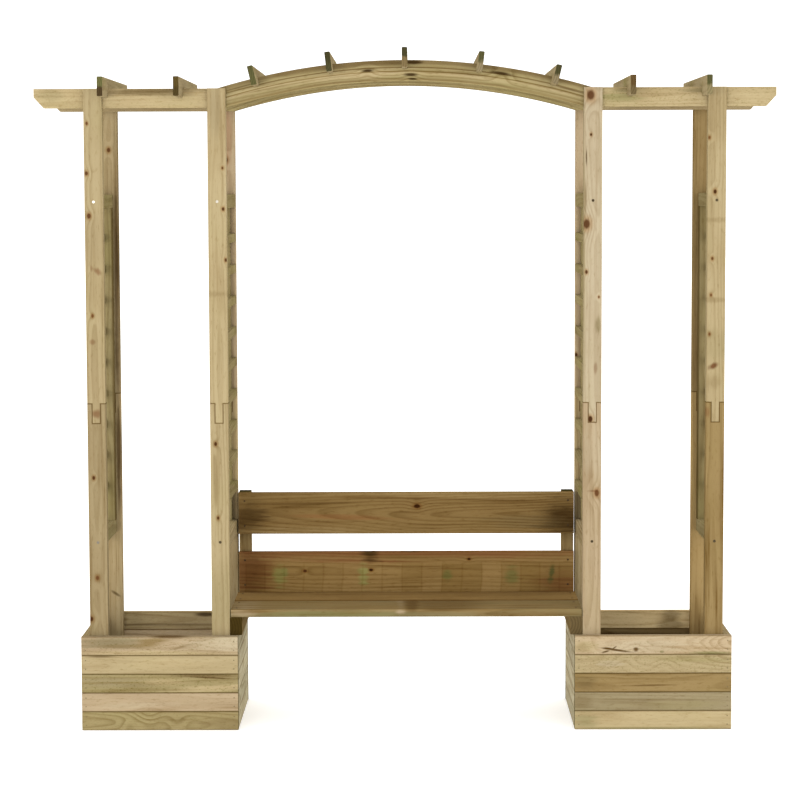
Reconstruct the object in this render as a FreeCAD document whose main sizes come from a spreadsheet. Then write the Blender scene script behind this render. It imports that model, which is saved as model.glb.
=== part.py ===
import FreeCAD, Part
import Sketcher
import os
import re

# Arbour seat of planed softwood: two planters carry eight posts in two lengths, front and back arches
# and side beams lap into the post heads, nine rafters are notched over them, slatted trellis panels
# fill the sides, and a bench with a backrest sits between the inner posts.
#
# Millimetres. X runs from left to right, Y from front to back, Z up. The origin is on the ground, in
# the middle of the plan. Front and back, left and right mirror each other, apart from the backrest.

SIZES = {
    # Planters: five courses of boards on each wall, the side walls between the front and back ones
    "planter_inside_width": 518,
    "planter_inside_depth": 518,
    "planter_wall": 30,
    "planter_courses": 5,
    "planter_board_height": 69.6,
    "planter_board_gap": 0.5,
    "floor_clearance": 15,
    "floor_batten_width": 45,
    "floor_batten_height": 45,
    "floor_board_count": 4,
    "floor_board_thickness": 20,
    "floor_board_gap": 8,
    # Posts: a tongue under the upper length stands in a slot of the lower one
    "sitting_width": 1304,
    "post_width": 67,
    "post_depth": 45,
    "post_joint_height": 1211,
    "tongue_width": 30,
    "tongue_length": 73,
    # Roof: the post head laps in front of the beam, which rests on the shoulder behind it
    "roof_height": 2361,
    "lap_thickness": 21,
    "beam_height": 70,
    "beam_thickness": 45,
    "beam_overhang": 183,
    "beam_tip_flat": 31,
    "beam_tip_run": 36,
    "arch_rise": 101,
    "rafter_count": 9,
    "rafter_tip_distance": 261,
    "rafter_thickness": 20,
    "rafter_height": 70,
    "rafter_notch": 32,
    "rafter_notch_clearance": 0.5,
    "rafter_overhang": 162,
    # Sides: each trellis panel stands on a cross rail between a front and a back post
    "cross_rail_top": 722,
    "cross_rail_height": 50,
    "trellis_top": 1975,
    "trellis_rail_height": 50,
    "stile_depth": 45,
    "stile_thickness": 28,
    "slat_count": 9,
    "slat_pitch": 119,
    "slat_height": 30,
    "slat_thickness": 20,
    "slat_drop": 100,
    # Bench: the bearers lie on the planters' rims against the inner posts
    "bearer_width": 45,
    "bearer_height": 67,
    "seat_board_depth": 204,
    "seat_board_thickness": 28,
    "seat_board_gap": 4,
    "seat_end_clearance": 3,
    "backrest_clearance": 3,
    "backrest_board_height": 160,
    "backrest_board_thickness": 28,
    "backrest_board_gap": 70,
    "backrest_drop": 5,
    "backrest_end_inset": 7,
    "batten_width": 45,
    "batten_depth": 67,
    # Screws through the posts into the trellis rails and the cross rails
    "screw_diameter": 6,
    "screw_head_diameter": 10,
    "screw_head_height": 1.5,
    "screw_bite": 40,
    "screw_hole_clearance": 0.2,
    # Long edges of planed timber
    "ease": 2,
}

# Places that follow from the sizes. Distances from the middle of the plan are given for the right
# side and the back, and are mirrored for the left side and the front.
PLACES = {
    "planter_side": "sitting_width / 2 - planter_wall",
    "planter_width": "planter_inside_width + 2 * planter_wall",
    "planter_pitch": "planter_board_height + planter_board_gap",
    "planter_top": "planter_courses * planter_pitch - planter_board_gap",
    "planter_back": "planter_inside_depth / 2",
    "inner_post": "sitting_width / 2",
    "outer_post": "inner_post + planter_inside_width - post_width",
    "post_outer_face": "planter_back",
    "post_inner_face": "planter_back - post_depth",
    "side_gap": "2 * post_inner_face",
    "beam_outer_face": "post_outer_face - lap_thickness",
    "beam_inner_face": "beam_outer_face - beam_thickness",
    "shoulder_height": "roof_height - beam_height",
    "arch_half": "inner_post + post_width / 2",
    "arch_radius": "(arch_half ^ 2 + arch_rise ^ 2) / (2 * arch_rise)",
    "arch_centre": "roof_height + arch_rise - arch_radius",
    "arch_seat": "shoulder_height - arch_centre",
    "arch_inner_radius": "sqrt(inner_post ^ 2 + arch_seat ^ 2)",
    "beam_tip": "outer_post + post_width + beam_overhang",
    "beam_length": "beam_tip - arch_half",
    "rafter_pitch": "2 * (beam_tip - rafter_tip_distance) / (rafter_count - 1)",
    "rafter_half": "beam_outer_face + rafter_overhang",
    "notch_width": "beam_thickness + 2 * rafter_notch_clearance",
    "floor_board_width": "(side_gap - (floor_board_count + 1) * floor_board_gap) / floor_board_count",
    "floor_top": "floor_clearance + floor_batten_height + floor_board_thickness",
    "lowest_slat": "trellis_top - trellis_rail_height - slat_drop - slat_height"
                   " - (slat_count - 1) * slat_pitch",
    "trellis_thickness": "slat_thickness + stile_thickness",
    "stile_length": "trellis_top - trellis_rail_height - cross_rail_top",
    "seat_top": "planter_top + bearer_height + seat_board_thickness",
    "seat_back": "-post_outer_face + 2 * seat_board_depth + seat_board_gap",
    "backrest_face": "seat_back + backrest_clearance",
    "backrest_foot": "seat_top - backrest_drop",
    "backrest_top": "backrest_foot + 2 * backrest_board_height + backrest_board_gap",
    "seat_length": "sitting_width - 2 * seat_end_clearance",
    "backrest_length": "sitting_width - 2 * backrest_end_inset",
    "screw_hole": "screw_diameter / 2 + screw_hole_clearance",
    "trellis_screw_height": "trellis_top - trellis_rail_height / 2",
    "cross_rail_screw_height": "cross_rail_top - cross_rail_height / 2",
}

SIDES = {"left": -1, "right": 1}
ENDS = {"front": -1, "back": 1}

doc = FreeCAD.newDocument("ArbourSeat")
sheet = doc.addObject("Spreadsheet::Sheet", "Sizes")
for row, (size_name, size) in enumerate(SIZES.items(), start=1):
    sheet.set(f"A{row}", size_name)
    sheet.set(f"B{row}", str(size))
    sheet.setAlias(f"B{row}", size_name)
doc.recompute()

pieces = []


def formula(text):
    """Turn a rule written with the names of sizes and places into an expression on the sheet."""
    def swap(match):
        word = match.group(0)
        if word in PLACES:
            return "(" + formula(PLACES[word]) + ")"
        if word in SIZES:
            return "Sizes." + word
        return word
    return re.sub(r"[a-z_]+", swap, text)


def number(text):
    result = sheet.evalExpression(formula(text))
    return float(getattr(result, "Value", result))


def bind(thing, what, text):
    thing.setExpression(what, formula(text))


def place(piece, x="0", y="0", z="0"):
    bind(piece, ".Placement.Base.x", x)
    bind(piece, ".Placement.Base.y", y)
    bind(piece, ".Placement.Base.z", z)


def low_edge(sign, distance, size):
    """Lower coordinate of something that starts at a distance from the middle, on either side of it."""
    if sign > 0:
        return distance
    return f"-({distance}) - ({size})"


def new_body(name):
    body = doc.addObject("PartDesign::Body", name)
    body.Label = name
    return body


def origin_feature(body, role):
    return next(feature for feature in body.Origin.OriginFeatures if feature.Role == role)


def new_sketch(body, plane, name, offset="0"):
    """Sketch on one of the body's own planes, moved along the plane's normal."""
    sketch = body.newObject("Sketcher::SketchObject", f"{body.Name}_{name}")
    sketch.AttachmentSupport = [(origin_feature(body, plane), "")]
    sketch.MapMode = "FlatFace"
    bind(sketch, ".AttachmentOffset.Base.z", offset)
    return sketch


def hold_distance(sketch, direction, first, second, text):
    """Hold one point at a distance from another along X or Y."""
    distance = number(text)
    if abs(distance) < 1e-9:
        same = "Vertical" if direction == "X" else "Horizontal"
        sketch.addConstraint(Sketcher.Constraint(same, *first, *second))
        return
    if distance < 0:
        first, second, text = second, first, f"-({text})"
    constraint = Sketcher.Constraint("Distance" + direction, *first, *second, abs(distance))
    index = sketch.addConstraint(constraint)
    bind(sketch, f"Constraints[{index}]", text)


def draw_outline(sketch, start, steps):
    """Closed outline from a first corner and the way from each corner to the next one."""
    corner = FreeCAD.Vector(number(start[0]), number(start[1]), 0)
    corners = [corner]
    for across, up in steps:
        corner = corner + FreeCAD.Vector(number(across), number(up), 0)
        corners.append(corner)
    first = sketch.GeometryCount
    for index, corner in enumerate(corners):
        following = corners[(index + 1) % len(corners)]
        sketch.addGeometry(Part.LineSegment(corner, following), False)
    last = first + len(corners) - 1
    for side in range(first, last + 1):
        following = first if side == last else side + 1
        sketch.addConstraint(Sketcher.Constraint("Coincident", side, 2, following, 1))
    hold_distance(sketch, "X", (-1, 1), (first, 1), start[0])
    hold_distance(sketch, "Y", (-1, 1), (first, 1), start[1])
    for side, (across, up) in enumerate(steps, start=first):
        hold_distance(sketch, "X", (side, 1), (side, 2), across)
        hold_distance(sketch, "Y", (side, 1), (side, 2), up)


def draw_rectangle(sketch, x, y, width, height):
    draw_outline(sketch, (x, y), [(width, "0"), ("0", height), (f"-({width})", "0")])


def draw_circle(sketch, x, y, radius):
    centre = FreeCAD.Vector(number(x), number(y), 0)
    circle = sketch.addGeometry(Part.Circle(centre, FreeCAD.Vector(0, 0, 1), number(radius)), False)
    hold_distance(sketch, "X", (-1, 1), (circle, 3), x)
    hold_distance(sketch, "Y", (-1, 1), (circle, 3), y)
    index = sketch.addConstraint(Sketcher.Constraint("Radius", circle, number(radius)))
    bind(sketch, f"Constraints[{index}]", radius)


def pad(body, sketch, length, name="pad", centred=False):
    """Pad towards +X, +Y or +Z, or to both sides of the sketch."""
    feature = body.newObject("PartDesign::Pad", f"{body.Name}_{name}")
    feature.Profile = sketch
    feature.Reversed = sketch.AttachmentSupport[0][0].Role == "XZ_Plane"
    if centred:
        feature.SideType = "Symmetric"
    bind(feature, "Length", length)
    return feature


def cut(body, sketch, name, depth=None):
    """Pocket right through the body, or to a depth behind the sketch's plane."""
    doc.recompute()
    before = body.Shape.Volume
    feature = body.newObject("PartDesign::Pocket", f"{body.Name}_{name}")
    feature.Profile = sketch
    if depth is None:
        feature.Type = "ThroughAll"
        feature.SideType = "Symmetric"
    else:
        bind(feature, "Length", depth)
    doc.recompute()
    if body.Shape.Volume > before - 1:
        raise RuntimeError(f"{feature.Name} cuts nothing")
    return feature


def repeat(body, feature, axis, length, count, name="row"):
    pattern = body.newObject("PartDesign::LinearPattern", f"{body.Name}_{name}")
    pattern.Originals = [feature]
    pattern.Direction = (origin_feature(body, axis), [""])
    bind(pattern, "Length", length)
    bind(pattern, "Occurrences", count)
    body.Tip = pattern
    return pattern


def mirror(body, feature, plane, name="mirrored"):
    mirrored = body.newObject("PartDesign::Mirrored", f"{body.Name}_{name}")
    mirrored.Originals = [feature]
    mirrored.MirrorPlane = (origin_feature(body, plane), [""])
    body.Tip = mirrored
    return mirrored


def ease_long_edges(body, feature):
    """Ease the edges that run along a beam, an arch or a rafter."""
    doc.recompute()
    least = 2 * number("beam_thickness")
    names = [f"Edge{index}" for index, edge in enumerate(feature.Shape.Edges, start=1)
             if edge.Length > least]
    chamfer = body.newObject("PartDesign::Chamfer", f"{body.Name}_ease")
    chamfer.Base = (feature, names)
    bind(chamfer, "Size", "ease")
    return chamfer


# Plane across each direction, on which a section is drawn
SECTION_PLANES = {"X": "YZ_Plane", "Y": "XZ_Plane", "Z": "XY_Plane"}


def timber(name, along, width, height, length, centred=False):
    """Planed timber with eased long edges. Its section starts at the body's origin."""
    body = new_body(name)
    section = new_sketch(body, SECTION_PLANES[along], "section")
    flat = f"({width}) - 2 * ease"
    upright = f"({height}) - 2 * ease"
    draw_outline(section, ("ease", "0"), [
        (flat, "0"), ("ease", "ease"), ("0", upright), ("-ease", "ease"),
        (f"-({flat})", "0"), ("-ease", "-ease"), ("0", f"-({upright})"),
    ])
    return body, pad(body, section, length, centred=centred)


def sawn(name, along, width, height, length, centred=False):
    """Sawn timber with square edges. Its section starts at the body's origin."""
    body = new_body(name)
    section = new_sketch(body, SECTION_PLANES[along], "section")
    draw_rectangle(section, "0", "0", width, height)
    return body, pad(body, section, length, centred=centred)


def keep(piece):
    pieces.append(piece)
    return piece


def group(name, members):
    """Separate solids that share one node."""
    compound = doc.addObject("Part::Compound", name)
    compound.Label = name
    compound.Links = members
    return keep(compound)


def planter(side, sign):
    """Four walls of stacked boards and a slatted floor on two battens."""
    left_edge = low_edge(sign, "planter_side", "planter_width")
    inside = f"({left_edge}) + planter_wall"
    stack = "(planter_courses - 1) * planter_pitch"

    for end, direction in ENDS.items():
        body, board = timber(f"planter_{side}_{end}_boards", "X",
                             "planter_wall", "planter_board_height", "planter_width")
        repeat(body, board, "Z_Axis", stack, "planter_courses")
        place(body, left_edge, low_edge(direction, "planter_back", "planter_wall"))
        keep(body)

    for wall, distance in (("inner", "planter_side"),
                           ("outer", "planter_side + planter_wall + planter_inside_width")):
        body, board = timber(f"planter_{side}_{wall}_boards", "Y",
                             "planter_wall", "planter_board_height", "planter_inside_depth", True)
        repeat(body, board, "Z_Axis", stack, "planter_courses")
        place(body, low_edge(sign, distance, "planter_wall"))
        keep(body)

    body, batten = sawn(f"planter_{side}_floor_battens", "Y",
                        "floor_batten_width", "floor_batten_height", "side_gap", True)
    repeat(body, batten, "X_Axis", "planter_inside_width - floor_batten_width", "2")
    place(body, inside, "0", "floor_clearance")
    keep(body)

    body, board = sawn(f"planter_{side}_floor_boards", "X",
                       "floor_board_width", "floor_board_thickness", "planter_inside_width")
    repeat(body, board, "Y_Axis", "(floor_board_count - 1) * (floor_board_width + floor_board_gap)",
           "floor_board_count")
    place(body, inside, "-post_inner_face + floor_board_gap", "floor_top - floor_board_thickness")
    keep(body)


def screw_passage(body, height):
    """Clearance hole through a post, from front to back."""
    sketch = new_sketch(body, "XZ_Plane", "screw_passage")
    draw_circle(sketch, "post_width / 2", height, "screw_hole")
    cut(body, sketch, "screw_cut")


def lower_post(name, x, y):
    """Post foot, from the ground to the shoulders of the fork."""
    body, _ = timber(name, "Z", "post_width", "post_depth", "post_joint_height")
    slot = new_sketch(body, "XZ_Plane", "slot")
    draw_rectangle(slot, "(post_width - tongue_width) / 2", "post_joint_height - tongue_length",
                   "tongue_width", "tongue_length")
    cut(body, slot, "slot_cut")
    screw_passage(body, "cross_rail_screw_height")
    place(body, x, y)
    keep(body)


def upper_post(name, x, y, direction):
    """Upper post: a tongue at its foot, and a head lapped in front of the beam."""
    body, _ = timber(name, "Z", "post_width", "post_depth", "roof_height - post_joint_height")
    tongue = new_sketch(body, "XZ_Plane", "tongue")
    draw_rectangle(tongue, "(post_width - tongue_width) / 2", "-tongue_length",
                   "tongue_width", "tongue_length")
    pad(body, tongue, "post_depth", "tongue_pad")
    lap = new_sketch(body, "YZ_Plane", "lap")
    lap_start = "0" if direction > 0 else "lap_thickness"
    draw_rectangle(lap, lap_start, "shoulder_height - post_joint_height",
                   "post_depth - lap_thickness", "beam_height")
    cut(body, lap, "lap_cut")
    screw_passage(body, "trellis_screw_height - post_joint_height")
    place(body, x, y, "post_joint_height")
    keep(body)


def posts(side, sign):
    for end, direction in ENDS.items():
        y = low_edge(direction, "post_inner_face", "post_depth")
        for row_name, distance in (("inner", "inner_post"), ("outer", "outer_post")):
            x = low_edge(sign, distance, "post_width")
            lower_post(f"post_{end}_{side}_{row_name}_lower", x, y)
            upper_post(f"post_{end}_{side}_{row_name}_upper", x, y, direction)


def end_holes(body, x, z):
    """Blind holes for the screws in both ends of a rail that is centred on its origin."""
    sketch = new_sketch(body, "XZ_Plane", "screw_hole", "side_gap / 2")
    draw_circle(sketch, x, z, "screw_hole")
    hole = cut(body, sketch, "screw_cut", "screw_bite")
    mirror(body, hole, "XZ_Plane")


def behind_face(post, facing, inset, size):
    """Lower X of something that lies behind a post's left face, or behind its right one."""
    if facing < 0:
        return f"{post} + {inset}"
    return f"{post} + post_width - {inset} - {size}"


def rail(name, post, facing, height, bottom):
    """Rail between a front and a back post, flush with their left or right faces."""
    body, _ = timber(name, "Y", "trellis_thickness", height, "side_gap", True)
    post_middle = "post_width / 2" if facing < 0 else "trellis_thickness - post_width / 2"
    end_holes(body, post_middle, f"{height} / 2")
    place(body, behind_face(post, facing, "0", "trellis_thickness"), "0", bottom)
    return body


def trellis(name, post, facing):
    """Slats on the faces of two stiles, flush with the posts, and a top rail over both."""
    members = []
    for end, direction in ENDS.items():
        stile, _ = timber(f"{name}_{end}_stile", "Z", "stile_thickness", "stile_depth", "stile_length")
        place(stile, behind_face(post, facing, "slat_thickness", "stile_thickness"),
              low_edge(direction, "post_inner_face - stile_depth", "stile_depth"), "cross_rail_top")
        members.append(stile)

    members.append(rail(f"{name}_rail", post, facing, "trellis_rail_height",
                        "trellis_top - trellis_rail_height"))

    slats, slat = sawn(f"{name}_slats", "Y", "slat_thickness", "slat_height", "side_gap", True)
    repeat(slats, slat, "Z_Axis", "(slat_count - 1) * slat_pitch", "slat_count")
    place(slats, behind_face(post, facing, "0", "slat_thickness"), "0", "lowest_slat")
    members.append(slats)
    group(name, members)


def side_beam(name, side_sign, direction):
    """Straight beam from the middle of the inner post to its tip, cut away under the end."""
    body = new_body(name)
    face = new_sketch(body, "XZ_Plane", "face")
    draw_outline(face, ("0", "0"), [
        (f"{side_sign} * (beam_length - beam_tip_run)", "0"),
        (f"{side_sign} * beam_tip_run", "beam_height - beam_tip_flat"),
        ("0", "beam_tip_flat"),
        (f"-{side_sign} * beam_length" if side_sign > 0 else "beam_length", "0"),
    ])
    ease_long_edges(body, pad(body, face, "beam_thickness"))
    x = "arch_half" if side_sign > 0 else "-arch_half"
    place(body, x, low_edge(direction, "beam_inner_face", "beam_thickness"), "shoulder_height")
    keep(body)


def arch(name, direction):
    """Curved beam between the inner posts, with level seats on their shoulders."""
    body = new_body(name)
    face = new_sketch(body, "XZ_Plane", "face")
    half = number("arch_half")
    inner = number("inner_post")
    seat = number("arch_seat")
    top = number("roof_height - arch_centre")
    points = {
        "right_top": FreeCAD.Vector(half, top, 0),
        "right_end": FreeCAD.Vector(half, seat, 0),
        "right_seat": FreeCAD.Vector(inner, seat, 0),
        "left_top": FreeCAD.Vector(-half, top, 0),
        "left_end": FreeCAD.Vector(-half, seat, 0),
        "left_seat": FreeCAD.Vector(-inner, seat, 0),
    }
    crown = FreeCAD.Vector(0, number("arch_radius"), 0)
    soffit = FreeCAD.Vector(0, number("arch_inner_radius"), 0)
    upper = face.addGeometry(Part.Arc(points["right_top"], crown, points["left_top"]), False)
    left = face.addGeometry(Part.LineSegment(points["left_top"], points["left_end"]), False)
    left_seat = face.addGeometry(Part.LineSegment(points["left_end"], points["left_seat"]), False)
    lower = face.addGeometry(Part.Arc(points["right_seat"], soffit, points["left_seat"]), False)
    right_seat = face.addGeometry(Part.LineSegment(points["right_seat"], points["right_end"]), False)
    right = face.addGeometry(Part.LineSegment(points["right_end"], points["right_top"]), False)
    for first, first_end, second, second_end in (
            (upper, 2, left, 1), (left, 2, left_seat, 1), (left_seat, 2, lower, 2),
            (lower, 1, right_seat, 1), (right_seat, 2, right, 1), (right, 2, upper, 1)):
        face.addConstraint(Sketcher.Constraint("Coincident", first, first_end, second, second_end))
    for curve, radius in ((upper, "arch_radius"), (lower, "arch_inner_radius")):
        face.addConstraint(Sketcher.Constraint("Coincident", curve, 3, -1, 1))
        index = face.addConstraint(Sketcher.Constraint("Radius", curve, number(radius)))
        bind(face, f"Constraints[{index}]", radius)
    for line in (left, right):
        face.addConstraint(Sketcher.Constraint("Vertical", line))
    for line in (left_seat, right_seat):
        face.addConstraint(Sketcher.Constraint("Horizontal", line))
        hold_distance(face, "Y", (-1, 1), (line, 1), "arch_seat")
    hold_distance(face, "X", (-1, 1), (right, 1), "arch_half")
    hold_distance(face, "X", (left, 1), (-1, 1), "arch_half")
    ease_long_edges(body, pad(body, face, "beam_thickness"))
    place(body, "0", low_edge(direction, "beam_inner_face", "beam_thickness"), "arch_centre")
    keep(body)


def rafter(index):
    """Rafter notched over the front and back beams, square to the arch where it lies on one."""
    body = new_body(f"rafter_{index}")
    side = new_sketch(body, "YZ_Plane", "side")
    end_run = "rafter_overhang - rafter_notch_clearance"
    draw_outline(side, ("-rafter_half", "-rafter_notch"), [
        (end_run, "0"),
        ("0", "rafter_notch"), ("notch_width", "0"), ("0", "-rafter_notch"),
        ("2 * (beam_inner_face - rafter_notch_clearance)", "0"),
        ("0", "rafter_notch"), ("notch_width", "0"), ("0", "-rafter_notch"),
        (end_run, "0"),
        ("0", "rafter_height"), ("-2 * rafter_half", "0"),
    ])
    ease_long_edges(body, pad(body, side, "rafter_thickness", centred=True))
    x = f"({index} - (rafter_count + 1) / 2) * rafter_pitch"
    on_arch = f"abs({x}) < arch_half"
    body.Placement.Rotation = FreeCAD.Rotation(FreeCAD.Vector(0, 1, 0), 0)
    bind(body, ".Placement.Rotation.Angle", f"{on_arch} ? asin({x} / arch_radius) : 0")
    place(body, x, "0",
          f"{on_arch} ? arch_centre + sqrt(arch_radius ^ 2 - ({x}) ^ 2) : roof_height")
    keep(body)


def bench():
    """Seat boards on bearers, and backrest boards on battens that stand on them."""
    for side, sign in SIDES.items():
        body, _ = timber(f"seat_bearer_{side}", "Y", "bearer_width", "bearer_height",
                         "planter_inside_depth", True)
        x = low_edge(sign, "inner_post - bearer_width", "bearer_width")
        place(body, x, "0", "planter_top")
        keep(body)

        body, _ = timber(f"backrest_batten_{side}", "Z", "batten_width", "batten_depth",
                         "backrest_top - planter_top - bearer_height")
        x = low_edge(sign, "backrest_length / 2 - batten_width", "batten_width")
        place(body, x, "backrest_face + backrest_board_thickness", "planter_top + bearer_height")
        keep(body)

    seat_front = "-post_outer_face"
    for row_name, y in (("front", seat_front),
                        ("rear", f"{seat_front} + seat_board_depth + seat_board_gap")):
        body, _ = timber(f"seat_board_{row_name}", "X", "seat_board_depth", "seat_board_thickness",
                         "seat_length", True)
        place(body, "0", y, "seat_top - seat_board_thickness")
        keep(body)

    for row_name, z in (("lower", "backrest_foot"),
                        ("upper", "backrest_top - backrest_board_height")):
        body, _ = timber(f"backrest_board_{row_name}", "X", "backrest_board_thickness",
                         "backrest_board_height", "backrest_length", True)
        place(body, "0", "backrest_face", z)
        keep(body)


def screw(name, x, y, z, direction):
    """Wood screw: raised head on the post's outer face, shank through the post into the rail."""
    body = new_body(name)
    profile = new_sketch(body, "XY_Plane", "profile")
    draw_outline(profile, ("0", "-screw_head_height"), [
        ("screw_head_diameter / 2", "screw_head_height"),
        ("-(screw_head_diameter - screw_diameter) / 2", "0"),
        ("0", "post_depth + screw_bite"),
        ("-screw_diameter / 2", "0"),
    ])
    turn = body.newObject("PartDesign::Revolution", f"{name}_turn")
    turn.Profile = profile
    turn.ReferenceAxis = (profile, ["V_Axis"])
    turn.Angle = 360
    body.Placement.Rotation = FreeCAD.Rotation(FreeCAD.Vector(0, 0, 1), 180 if direction > 0 else 0)
    place(body, x, y, z)
    return body


def screws():
    members = []
    for side, sign in SIDES.items():
        for row_name, distance in (("inner", "inner_post"), ("outer", "outer_post")):
            x = f"{sign} * ({distance} + post_width / 2)"
            for end, direction in ENDS.items():
                y = f"{direction} * post_outer_face"
                for level, z in (("trellis", "trellis_screw_height"),
                                 ("cross_rail", "cross_rail_screw_height")):
                    name = f"screw_{level}_{end}_{side}_{row_name}"
                    members.append(screw(name, x, y, z, direction))
    group("rail_screws", members)


for side_name, side_sign in SIDES.items():
    planter(side_name, side_sign)
    posts(side_name, side_sign)
    # The slats of both panels look away from the middle of their planter
    for post_row, post_distance, slats_face in (("inner", "inner_post", -side_sign),
                                                ("outer", "outer_post", side_sign)):
        post_x = low_edge(side_sign, post_distance, "post_width")
        keep(rail(f"cross_rail_{side_name}_{post_row}", post_x, slats_face,
                  "cross_rail_height", "cross_rail_top - cross_rail_height"))
        trellis(f"trellis_{side_name}_{post_row}", post_x, slats_face)
for end_name, end_direction in ENDS.items():
    arch(f"arch_{end_name}", end_direction)
    for side_name, side_sign in SIDES.items():
        side_beam(f"beam_{end_name}_{side_name}", side_sign, end_direction)
for rafter_index in range(1, SIZES["rafter_count"] + 1):
    rafter(rafter_index)
bench()
screws()

doc.recompute()
for thing in doc.Objects:
    if any(state in ("Invalid", "Error") for state in thing.State):
        raise RuntimeError(f"{thing.Label} is {thing.State}")
for piece in pieces:
    if piece.Shape.isNull() or not piece.Shape.isValid():
        raise RuntimeError(f"{piece.Label} has no valid shape")

os.makedirs("parts", exist_ok=True)
for piece in pieces:
    piece.Shape.exportStep(f"parts/{piece.Label}.step")
print(len(pieces), "pieces,", sum(len(piece.Shape.Solids) for piece in pieces), "solids")
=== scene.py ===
import math

import bmesh
import bpy
from mathutils import Matrix, Vector


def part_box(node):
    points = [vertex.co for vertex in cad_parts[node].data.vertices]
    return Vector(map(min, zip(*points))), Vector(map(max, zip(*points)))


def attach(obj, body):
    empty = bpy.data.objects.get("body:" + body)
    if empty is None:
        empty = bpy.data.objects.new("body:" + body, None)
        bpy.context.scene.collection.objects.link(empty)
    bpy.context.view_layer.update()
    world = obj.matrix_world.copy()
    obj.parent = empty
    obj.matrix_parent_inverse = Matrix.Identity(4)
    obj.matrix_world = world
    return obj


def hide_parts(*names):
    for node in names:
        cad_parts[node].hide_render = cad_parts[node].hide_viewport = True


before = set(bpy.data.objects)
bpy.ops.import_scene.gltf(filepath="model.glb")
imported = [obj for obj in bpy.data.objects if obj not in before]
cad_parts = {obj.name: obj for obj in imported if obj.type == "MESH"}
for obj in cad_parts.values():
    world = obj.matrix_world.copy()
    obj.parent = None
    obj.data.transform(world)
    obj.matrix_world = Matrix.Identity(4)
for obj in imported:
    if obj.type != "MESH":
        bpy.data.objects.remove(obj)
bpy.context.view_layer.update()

bl_info = {
    "name": "Arbour Seat",
    "version": (1, 0, 0),
    "blender": (4, 5, 0),
    "location": "3D View > Sidebar > Arbour",
    "description": "Dresses an arbour seat of treated softwood: timber finishes, nails, screws and studio",
    "category": "Object",
}

# Places and sizes that the finishes follow
ROOF_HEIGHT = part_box("beam_front_right")[1].z
COURSES = 5
BOARD_GAP = 0.0005
COURSE_PITCH = (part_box("planter_left_front_boards")[1].z + BOARD_GAP) / COURSES
TRELLIS_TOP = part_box("trellis_right_inner")[1].z
TRELLIS_RAIL = 0.05
SLATS = 9
SLAT_PITCH = 0.119
SLAT_HEIGHT = 0.03
SLAT_THICKNESS = 0.02
SLAT_DROP = 0.1
TOP_SLAT = TRELLIS_TOP - TRELLIS_RAIL - SLAT_DROP - SLAT_HEIGHT / 2
ARCH_HALF_HEIGHT = 0.035
ARCH_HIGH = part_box("arch_front")[1]
ARCH_RISE = ARCH_HIGH.z - ROOF_HEIGHT
ARCH_RADIUS = (ARCH_HIGH.x ** 2 + ARCH_RISE ** 2) / (2 * ARCH_RISE)
ARCH_CENTRE = ARCH_HIGH.z - ARCH_RADIUS
# Where the random draws of each group of pieces start
DRAWS = {"planters": 11, "floors": 31, "posts": 50, "beams": 80, "arches": 90, "rafters": 100,
         "panels": 120, "cross_rails": 130, "bench": 140}
# Cross recess of a screw, as shares of its head's radius and height
RECESS_LENGTH = 1.1
RECESS_WIDTH = 0.24
RECESS_DEPTH = 1.3
SMOOTH_ANGLE = math.radians(35)
# Farther out than any piece
BEYOND = 9.0
# The floor lies a little under the planters, and the lamps look at the arbour's middle
FLOOR_SIZE = 120
FLOOR_DROP = 0.0005
LAMP_AIM = Vector((0, 0, 1.2))
# Distance of the laths between which the backrest's boards were stacked to dry
LATH_SPACING = 0.076


def lit(red, green, blue):
    """Paint that looks this colour, from 0 to 255, in the studio, whose light doubles it."""
    def linear(value):
        value = value / 255
        return value / 12.92 if value <= 0.04045 else ((value + 0.055) / 1.055) ** 2.4
    return (linear(red) / 2, linear(green) / 2, linear(blue) / 2)


def shade(paint, share):
    return tuple(part * share for part in paint)


def number(name, description, default, **kind):
    return bpy.props.FloatProperty(name=name, description=description, default=default, min=0, **kind)


def length(name, description, default):
    return number(name, description, default, unit="LENGTH", subtype="DISTANCE")


def triple(name, description, default, **kind):
    return bpy.props.FloatVectorProperty(name=name, description=description, default=default, **kind)


def colour(name, description, default):
    return triple(name, description, default, subtype="COLOR", min=0, max=1)


class ArbourTimber(bpy.types.PropertyGroup):
    cream: colour("Cream", "Palest planed timber", lit(222, 204, 170))
    straw: colour("Straw", "Pale planed timber", lit(207, 187, 143))
    sand: colour("Sand", "Planed timber with a pink cast", lit(207, 184, 148))
    tan: colour("Tan", "Common planed timber", lit(194, 173, 131))
    olive: colour("Olive", "Timber green from its treatment", lit(174, 158, 113))
    grey: colour("Grey", "Weathered timber", lit(178, 162, 126))
    umber: colour("Umber", "Darker heartwood", lit(158, 134, 90))
    chestnut: colour("Chestnut", "Warm brown timber of the bench", lit(161, 131, 82))
    # Painted paler than the timber is: painted light against the shade on the planters' inner sides
    sage_lightened_for_shade: colour("Sage", "Greenish timber of the planters' inner sides", lit(204, 194, 164))
    peat: colour("Peat", "Damp ends of the bearers", lit(92, 72, 22))
    bark: colour("Bark", "Darkest, damp heartwood", lit(108, 80, 42))
    rust: colour("Rust", "Resin stains", lit(140, 88, 52))
    moss: colour("Moss", "Green salts of the treatment", lit(130, 130, 76))
    knot: colour("Knot", "Middle of a knot", lit(58, 30, 8))
    end_grain: colour("End grain", "Sawn ends, where the treatment is darkest", lit(96, 88, 46))
    ring_width: length("Ring width", "Distance between year rings", 0.0085)
    tongue_width: length("Tongue width", "Width of the tongue in a post's forked joint", 0.03)
    relief: length("Grain relief", "Height of the raised grain", 0.0003)


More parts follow.
